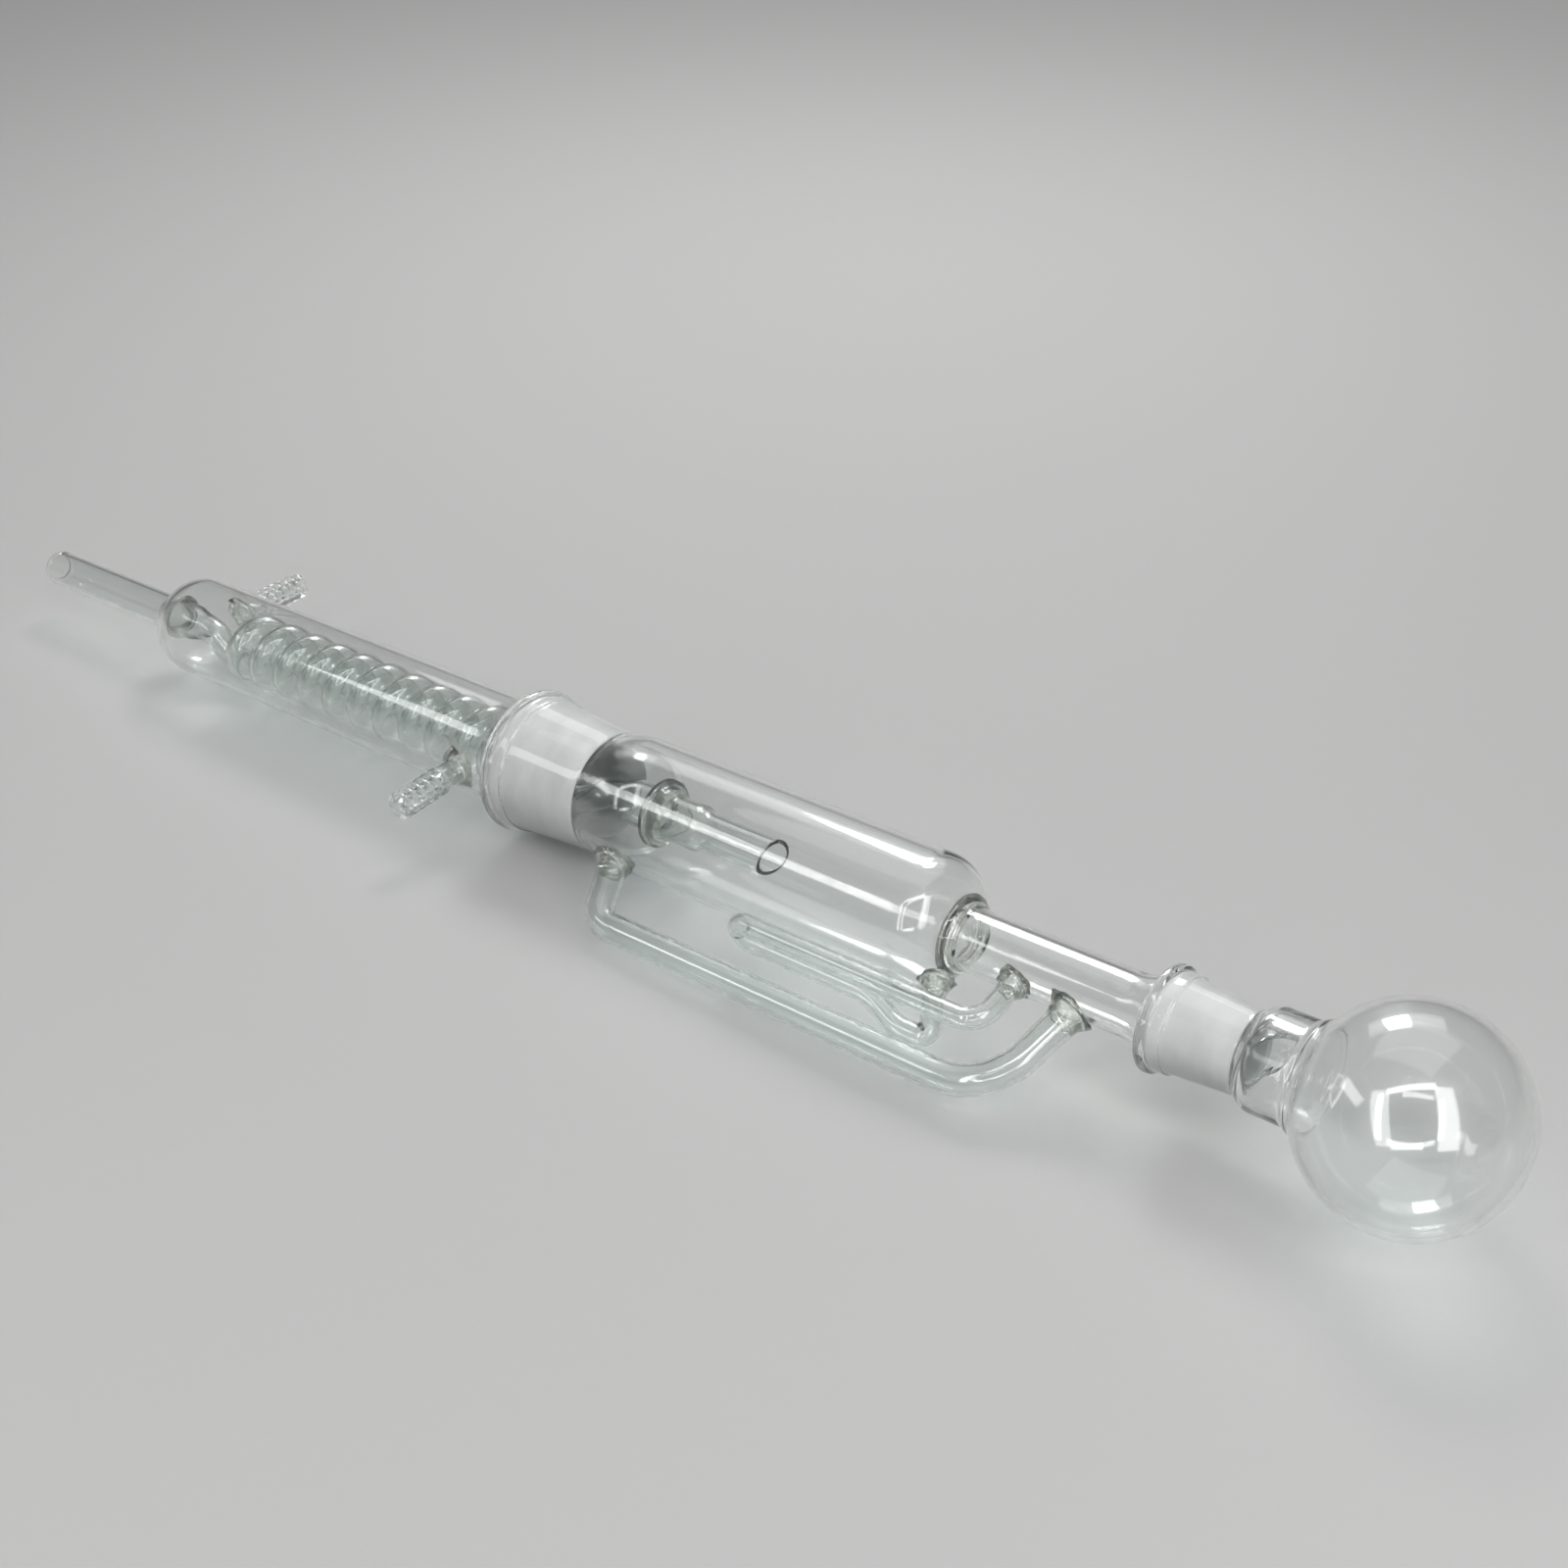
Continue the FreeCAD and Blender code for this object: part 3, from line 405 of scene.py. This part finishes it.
for label, place, heading, tube, spread, height, lumps, bow, node in [
    ("vapour_top_seal", polar(chamber_radius - 0.4, 0, vapour_top - 1.0), vapour_path[4] - vapour_path[0],
     vapour_radius, 2.4, 5.0, 4, 0.8, "vapour_top_weld"),
    ("vapour_low_seal", polar(stem_radius - 0.7, 0, vapour_low + 0.4), vapour_path[-5] - vapour_path[-1],
     vapour_radius, 2.6, 5.0, 5, 1.5, "vapour_low_weld"),
    ("siphon_inlet_seal", siphon_path[1], siphon_path[5] - siphon_path[0],
     siphon_radius, 2.2, 4.2, 3, 0.5, "siphon_inlet_weld"),
    ("siphon_outlet_seal", polar(stem_radius - 0.6, fall_angle, siphon_outlet),
     siphon_path[-5] - siphon_path[-1], siphon_radius, 2.2, 4.2, 4, 0.9, "siphon_outlet_weld"),
]:
    collar = seal_collar(place, heading, tube, spread, height, lumps, bow)
    glass_piece(label, collar, True, weld_glass, "weld_glass", "extractor", node)

seal_angle = np.linspace(0, 2 * np.pi, 120, endpoint=False)
stem_ring = turned(evenly(rounded([
    (stem_radius - 0.3, chamber_base - 4.4, 0),
    (stem_radius + 0.3, chamber_base - 4.2, 0.2),
    (stem_radius + 2.9, chamber_base - 1.6, 1.6),
    (stem_radius + 3.4, chamber_base + 0.5, 0.6),
    (stem_radius - 0.3, chamber_base + 0.5, 0),
]), 0.7), 120)
uneven = 1 + 0.012 * np.sin(3 * seal_angle + 0.7) + 0.008 * np.sin(7 * seal_angle)
stem_ring[..., :2] *= uneven[None, :, None]
glass_piece("stem_seal_ring", stem_ring, True, weld_glass, "weld_glass", "extractor", "stem_seal")

# ---- Condenser's jacket ------------------------------------------------------------------------
# The cooling jacket with its rounded shoulder, the cone that fits the large socket, and the dome that
# closes the cone inside the chamber. One skin of clear glass, drawn from tube and fused to the cone.
jacket_top = measure("condenser_jacket")[1]
dome_low = measure("condenser_dome")[0]
jacket_radius, jacket_wall = 18.0, 1.6
vent_radius, vent_wall, drip_tube_radius, drip_wall = 6.6, 1.4, 7.5, 1.3
cone_radius, cone_end_radius = large_bore - joint_gap, large_bore_end - joint_gap
shoulder_round = 15.0


def shoulder_arc(thickness, inner_radius, points=22):
    """The jacket's shoulder at a depth in the glass: the arc (m + b cos a, s + b sin a) from the inner radius
    to the side, with b the round less the depth and (m, s) the round's middle."""
    bend, middle = shoulder_round - thickness, jacket_radius - shoulder_round
    angle = np.linspace(np.arccos((inner_radius - middle) / bend), 0, points)
    station = jacket_top - shoulder_round + bend * np.sin(angle)
    return np.stack([middle + bend * np.cos(angle), station], axis=-1)


jacket_below = evenly(rounded([
    (jacket_radius, jacket_top - shoulder_round, 0),
    (jacket_radius, large_mouth + 8.0, 4.0),
    (cone_radius, large_mouth + 0.4, 1.5),
    (cone_end_radius, large_end, 0.5),
    (cone_end_radius, dome_low, 13.0),
    (drip_tube_radius + 2.6, dome_low, 1.2),
    (drip_tube_radius + 0.05, dome_low - 0.4, 0),
    (drip_tube_radius + 0.05, dome_low + cone_wall + 0.6, 0.3),
    (drip_tube_radius + 2.4, dome_low + cone_wall, 1.4),
    (cone_end_radius - cone_wall, dome_low + cone_wall, 11.0),
    (cone_end_radius - cone_wall, large_end, 0.5),
    (cone_radius - cone_wall, large_mouth, 1.5),
    (jacket_radius - jacket_wall, large_mouth + 8.0, 4.0),
    (jacket_radius - jacket_wall, jacket_top - shoulder_round, 0),
]), 1.6)
jacket_outline = np.concatenate([shoulder_arc(0, vent_radius + 0.1), jacket_below[1:-1],
                                 shoulder_arc(jacket_wall, vent_radius + 0.1)[::-1]])
glass_piece("jacket_glass", turned(jacket_outline), True, clear_glass, "clear_glass", "condenser",
            "condenser_jacket", "condenser_dome")

# ---- Coil with its vent and drip tube ----------------------------------------------------------
# One long tube: it enters as the open vent, steps off the axis, is wound twelve times left-handed, steps
# back onto the axis and leaves through the dome as the drip tube, whose end is cut on a slant.
vent_top = measure("vent_tube")[1]
drip_bottom, drip_head = measure("drip_tube")[:2]
coil_radius, coil_tube, coil_wall, coil_turns, coil_start = 8.0, 5.0, 1.1, 12, np.radians(-30.0)
vent_foot, drip_step = jacket_top - 16.0, dome_low - 17.0
drip_tip_radius, tip_cut, tip_cut_length = 6.2, np.radians(15.0), 14.0
step_length, widening_length = 1.5, 6.0
lead_length, elbow_bend, lead_straight, offset_length, offset_bend = 27.0, 8.0, 3.0, 10.0, 9.5
coil_top, coil_bottom = vent_foot - lead_length, drip_head + lead_length
winding = np.linspace(0, 1, 48 * coil_turns + 1)
turn_angle = coil_start + 2 * np.pi * coil_turns * winding
helix = np.stack([coil_radius * np.cos(turn_angle), coil_radius * np.sin(turn_angle),
                  coil_top + (coil_bottom - coil_top) * winding], axis=-1)


def coil_lead(face, heading, rise, far_station):
    """The run from one end of the coil: round an elbow until it runs along the axis, sideways onto the
    axis over the offset length, and straight on to the far station. A bend of radius r through an angle t
    leaves its corner's sides at the reach r tan(t / 2)."""
    turn = np.arccos(np.clip(heading[2] * rise, -1, 1))
    elbow_reach = elbow_bend * np.tan(turn / 2)
    corner = face + heading * elbow_reach
    aside = corner + np.array([0, 0, rise * (elbow_bend + lead_straight)])
    on_axis = np.array([0, 0, aside[2] + rise * offset_length])
    offset_reach = offset_bend * np.tan(np.arctan(np.hypot(*aside[:2]) / offset_length) / 2)
    return rounded([(*face, 0), (*corner, elbow_reach), (*aside, offset_reach), (*on_axis, offset_reach),
                    (0, 0, far_station, 0)], 14)


top_heading, low_heading = helix[0] - helix[1], helix[-1] - helix[-2]
top_lead = coil_lead(helix[0], top_heading / np.linalg.norm(top_heading), 1, vent_top)
low_lead = coil_lead(helix[-1], low_heading / np.linalg.norm(low_heading), -1, drip_bottom)
coil_path = evenly(np.concatenate([top_lead[::-1], helix[1:-1], low_lead]), 1.6)
polish = np.array([[0, 0, 1.0], [0, 0, 0.6], [0, 0, 0.3], [0, 0, 0.1], [0, 0, 0]])
coil_path = np.concatenate([coil_path[:-1], coil_path[-1] + polish])
station = coil_path[:, 2]
fire_polish = drip_wall / 2 * (1 - np.sqrt(np.clip((station - drip_bottom) / (drip_wall / 2), 0, 1)))
changes = [drip_step, drip_step + step_length, drip_head - widening_length, drip_head, vent_foot,
           vent_foot + widening_length]
lip = [vent_top - 3.0, vent_top - 1.2, vent_top - 0.5, vent_top]
bore_radius = fire_polish + np.interp(station, changes, [
    drip_tip_radius - drip_wall, drip_tube_radius - drip_wall, drip_tube_radius - drip_wall,
    coil_tube - coil_wall, coil_tube - coil_wall, vent_radius - vent_wall])
tube_radius = np.interp(station, changes + lip, [
    drip_tip_radius, drip_tube_radius, drip_tube_radius, coil_tube, coil_tube, vent_radius, vent_radius,
    vent_radius + 0.35, vent_radius + 0.3, vent_radius - 0.3]) - fire_polish * 0.98
on_coil = (station < coil_top) & (station > coil_bottom)
wound = 2 * np.pi * coil_turns * (coil_top - station) / (coil_top - coil_bottom)
path_angle = np.where(on_coil, coil_start + wound, coil_start)
outwards = np.stack([np.cos(path_angle), np.sin(path_angle), 0 * path_angle], axis=-1)
coil_rings = np.concatenate([swept(coil_path, outwards, tube_radius),
                             swept(coil_path, outwards, bore_radius)[::-1]])
drip_slant = (coil_rings[..., 0] + drip_tip_radius) * np.tan(tip_cut)
coil_rings[..., 2] += drip_slant * np.clip(1 - (coil_rings[..., 2] - drip_bottom) / tip_cut_length, 0, 1)
glass_piece("condenser_tube_glass", coil_rings, True, tube_finish, "clear_glass", "condenser",
            "coil", "coil_top_bend", "coil_bottom_bend", "vent_tube", "drip_tube")

# ---- Ring seals of the condenser ---------------------------------------------------------------
# Rings of melted glass where the vent tube leaves the jacket's shoulder and the drip tube leaves the
# dome. The glass gathers there into a thick ring that catches the light.
ring_angle = np.linspace(0, 2 * np.pi, 96, endpoint=False)
for label, ring_radius, foot, rise, node in [("vent_seal_ring", vent_radius, jacket_top, 1, "vent_seal"),
                                             ("drip_seal_ring", drip_tube_radius, dome_low, -1, "drip_seal")]:
    ring = turned(evenly(rounded([
        (ring_radius - 0.2, foot - rise * 2.4, 0),
        (ring_radius + 2.2, foot - rise * 1.6, 0.5),
        (ring_radius + 1.6, foot + rise * 1.2, 1.1),
        (ring_radius + 0.35, foot + rise * 4.4, 0.6),
        (ring_radius - 0.2, foot + rise * 4.5, 0),
    ]), 0.6), 96)
    uneven = 1 + 0.015 * np.sin(2 * ring_angle + 1) + 0.01 * np.sin(5 * ring_angle)
    ring[..., :2] *= uneven[None, :, None]
    glass_piece(label, ring, True, weld_glass, "weld_glass", "condenser", node)

# ---- Hose barbs --------------------------------------------------------------------------------
# Two ribbed side tubes for the cooling water, sealed to the jacket on opposite sides. The ribs are
# pressed in while the glass is soft, so each has a round crest; the mouth is fire-polished.
barb_tip, barb_radius, barb_root, barb_bore = jacket_radius + 27.0, 4.9, 4.2, 1.9
rib_pitch, ribs = 3.3, 6


def barb_rings(station, angle):
    """A tube that points away from the axis at an angle. Over the ribbed length its outside swells by
    |sin(pi x / pitch)|^0.6, one round crest each pitch, and it widens towards the jacket by
    2.6 exp(-x / 1.5). The rims of the mouth are rounded by terms that fade within half a millimetre."""
    run = np.linspace(jacket_radius - 0.7, barb_tip, 190)
    past = run - (barb_tip - rib_pitch * ribs)
    wave = np.where(past > 0, np.abs(np.sin(np.pi * past / rib_pitch)) ** 0.6, 0)
    outside = barb_root + (barb_radius - barb_root) * wave + 2.6 * np.exp(-(run - run[0]) / 1.5)
    outside -= 0.9 * np.exp(-(barb_tip - run) / 0.35)
    bore = barb_bore + 0.9 * np.exp(-(run - run[0]) / 1.5) + 0.5 * np.exp(-(barb_tip - run) / 0.5)
    path = np.stack([run * np.cos(angle), run * np.sin(angle), station + 0 * run], axis=-1)
    across = (0.0, 0.0, 1.0)
    return np.concatenate([swept(path, across, outside, 40), swept(path, across, bore, 40)[::-1]])


inlet_station, outlet_station = large_mouth + 17.0, jacket_top - 16.5
for label, station, angle, lumps in [("inlet", inlet_station, inlet_angle, 4),
                                     ("outlet", outlet_station, outlet_angle, 3)]:
    aim = np.array([np.cos(angle), np.sin(angle), 0])
    glass_piece(label + "_barb_glass", barb_rings(station, angle), True, tube_finish, "clear_glass",
                "condenser", label + "_barb")
    foot = aim * (jacket_radius - 1.0) + np.array([0, 0, station])
    collar = seal_collar(foot, aim, barb_root, 2.7, 4.4, lumps, 0.9)
    glass_piece(label + "_barb_seal", collar, True, weld_glass, "weld_glass", "condenser", label + "_weld")

# ---- Ground faces of the joints ----------------------------------------------------------------
# The cones and the bores of the sockets are ground with fine grit, which leaves an even, frosted,
# pale grey skin. Each is a thin skin set in the clear wall, from one end of the taper to the other.
ground_glass = bpy.data.materials.new("ground_glass")
ground_glass.use_nodes = True
nodes, links = ground_glass.node_tree.nodes, ground_glass.node_tree.links
shader = nodes["Principled BSDF"]
shader.inputs["IOR"].default_value = 1.474
shader.inputs["Transmission Weight"].default_value = 0.35
shader.inputs["Roughness"].default_value = 0.62
place, turning = nodes.new("ShaderNodeTexCoord"), nodes.new("ShaderNodeMapping")
cloudy, tone = nodes.new("ShaderNodeTexNoise"), nodes.new("ShaderNodeValToRGB")
turning.inputs["Scale"].default_value = (2.5, 1.0, 1.0)
cloudy.inputs["Scale"].default_value = 60.0
cloudy.inputs["Detail"].default_value = 4.0
darker, lighter = tone.color_ramp.elements
darker.color = (0.60, 0.605, 0.60, 1)
lighter.color = (0.72, 0.725, 0.72, 1)
darker.position = 0.3
lighter.position = 0.7
links.new(place.outputs["Object"], turning.inputs["Vector"])
links.new(turning.outputs["Vector"], cloudy.inputs["Vector"])
links.new(cloudy.outputs["Fac"], tone.inputs["Fac"])
links.new(tone.outputs["Color"], shader.inputs["Base Color"])
grit, bump = nodes.new("ShaderNodeTexNoise"), nodes.new("ShaderNodeBump")
grit.inputs["Scale"].default_value = 2600.0
bump.inputs["Strength"].default_value = 0.35
bump.inputs["Distance"].default_value = 0.0002
links.new(place.outputs["Object"], grit.inputs["Vector"])
links.new(grit.outputs["Fac"], bump.inputs["Height"])
links.new(bump.outputs["Normal"], shader.inputs["Normal"])

skin_depth, skin_lift = 0.3, 0.012
for label, end, mouth, end_radius, mouth_radius, inwards, body, node in [
    ("flask_ground_face", small_end, small_mouth - 1.0,
     small_bore_end, small_bore - 0.05, 1, "flask", ()),
    ("stem_ground_face", small_end, small_mouth,
     small_bore_end - joint_gap, small_bore - joint_gap, -1, "extractor", ("stem_cone",)),
    ("extractor_ground_face", large_end, large_mouth - 1.0,
     large_bore_end, large_bore - 0.05, 1, "extractor", ()),
    ("condenser_ground_face", large_end, large_mouth,
     cone_end_radius, cone_radius, -1, "condenser", ("condenser_cone",)),
]:
    low, high = end + 0.8, mouth - 0.2
    low_radius, high_radius = np.interp([low, high], [end, mouth], [end_radius, mouth_radius])
    buried, proud = inwards * skin_depth, -inwards * skin_lift
    corners = np.array([(low_radius + proud, low), (high_radius + proud, high), (high_radius + buried, high),
                        (low_radius + buried, low), (low_radius + proud, low)])
    skin = evenly(corners, 1.5)[:-1]
    glass_piece(label, turned(skin), True, ground_glass, "ground_glass", body, *node)

# ---- Floor, lamps and camera -------------------------------------------------------------------
# A plain pale floor that curves up into a backdrop all round. Strip lamps stand round the camera, as the
# sides of a soft box do, and the others light the floor and the backdrop.
floor_radius, backdrop_bend, backdrop_height = 2.0, 1.2, 3.4
bend_angle = np.linspace(0, np.pi / 2, 24)
floor_curve = np.stack([floor_radius + backdrop_bend * np.sin(bend_angle),
                        backdrop_bend * (1 - np.cos(bend_angle))], axis=-1)
backdrop_top = (floor_radius + backdrop_bend, backdrop_height)
ground = turned(np.concatenate([[(0.5, 0)], floor_curve, [backdrop_top]]), 96)
floor_gap = 0.0002
ground[..., 2] -= floor_gap
index = np.arange(ground.shape[0] * ground.shape[1]).reshape(ground.shape[:2])
nearer, further = index[:-1], index[1:]
floor_faces = np.stack([nearer, further, np.roll(further, -1, axis=1), np.roll(nearer, -1, axis=1)], axis=-1)
floor_mesh = bpy.data.meshes.new("floor")
floor_mesh.from_pydata(ground.reshape(-1, 3).tolist(), [],
                       floor_faces.reshape(-1, 4).tolist() + [index[0].tolist()])
floor_mesh.polygons.foreach_set("use_smooth", np.ones(len(floor_mesh.polygons), bool))
floor = bpy.data.objects.new("floor", floor_mesh)
bpy.context.scene.collection.objects.link(floor)
floor_finish = bpy.data.materials.new("floor_paper")
floor_finish.use_nodes = True
floor_shader = floor_finish.node_tree.nodes["Principled BSDF"]
floor_shader.inputs["Base Color"].default_value = (0.47, 0.47, 0.465, 1)
floor_shader.inputs["Roughness"].default_value = 0.9
floor_mesh.materials.append(floor_finish)

scene = bpy.context.scene
world = bpy.data.worlds.new("studio")
world.use_nodes = True
room_light = world.node_tree.nodes["Background"]
room_light.inputs["Color"].default_value = (0.22, 0.23, 0.24, 1)
room_light.inputs["Strength"].default_value = 0.5
scene.world = world

camera_place = np.array([0.4730, -0.4943, 0.4216])
camera_turn = np.radians([90 - 29.74, 0, 39.655])
camera_right = np.array([0.7699, 0.6382, 0.0])
camera_up = np.array([-0.3166, 0.3819, 0.8683])
for label, place, target, size, power in [
    ("left_strip", camera_place - 0.47 * camera_right + 0.04 * camera_up, None, (0.12, 0.66), 1.9),
    ("top_strip", camera_place - 0.04 * camera_right + 0.39 * camera_up, None, (0.66, 0.10), 1.8),
    ("right_panel", camera_place + 0.38 * camera_right + 0.02 * camera_up, None, (0.24, 0.72), 2.9),
    ("low_strip", camera_place - 0.10 * camera_right - 0.29 * camera_up, None, (0.42, 0.07), 0.6),
    ("window_lamp", (-0.72, -0.80, 0.68), (0.0, 0.0, 0.0), (0.70, 0.24), 2.0),
    ("back_lamp", (-0.42, 0.72, 0.85), (0.0, 0.0, 0.02), (0.34, 0.34), 5.0),
    ("overhead", (-0.40, 1.00, 2.40), (-0.40, 1.00, 0.0), (2.60, 2.60), 18.0),
    ("far_lamp", (-0.95, 1.55, 1.50), (-0.78, 1.25, 0.0), (2.00, 1.00), 9.0),
]:
    light = bpy.data.lights.new(label, "AREA")
    light.shape = "RECTANGLE"
    light.size, light.size_y = size
    light.energy = power
    lamp = bpy.data.objects.new(label, light)
    lamp.location = place
    lamp.rotation_euler = camera_turn
    if target:
        aim = np.array(target) - np.array(place)
        lamp.rotation_euler = (np.arctan2(np.hypot(aim[0], aim[1]), -aim[2]), 0,
                               np.arctan2(aim[1], aim[0]) - np.pi / 2)
    scene.collection.objects.link(lamp)

camera_data = bpy.data.cameras.new("camera")
camera_data.sensor_width = 36.0
camera_data.lens = 56.25
camera_data.clip_start = 0.01
camera = bpy.data.objects.new("camera", camera_data)
camera.location = camera_place
camera.rotation_euler = camera_turn
scene.collection.objects.link(camera)
scene.camera = camera
scene.view_settings.view_transform = "Standard"
scene.cycles.max_bounces = 28
scene.cycles.transmission_bounces = 26
scene.cycles.glossy_bounces = 10
scene.cycles.transparent_max_bounces = 32
scene.cycles.caustics_refractive = True
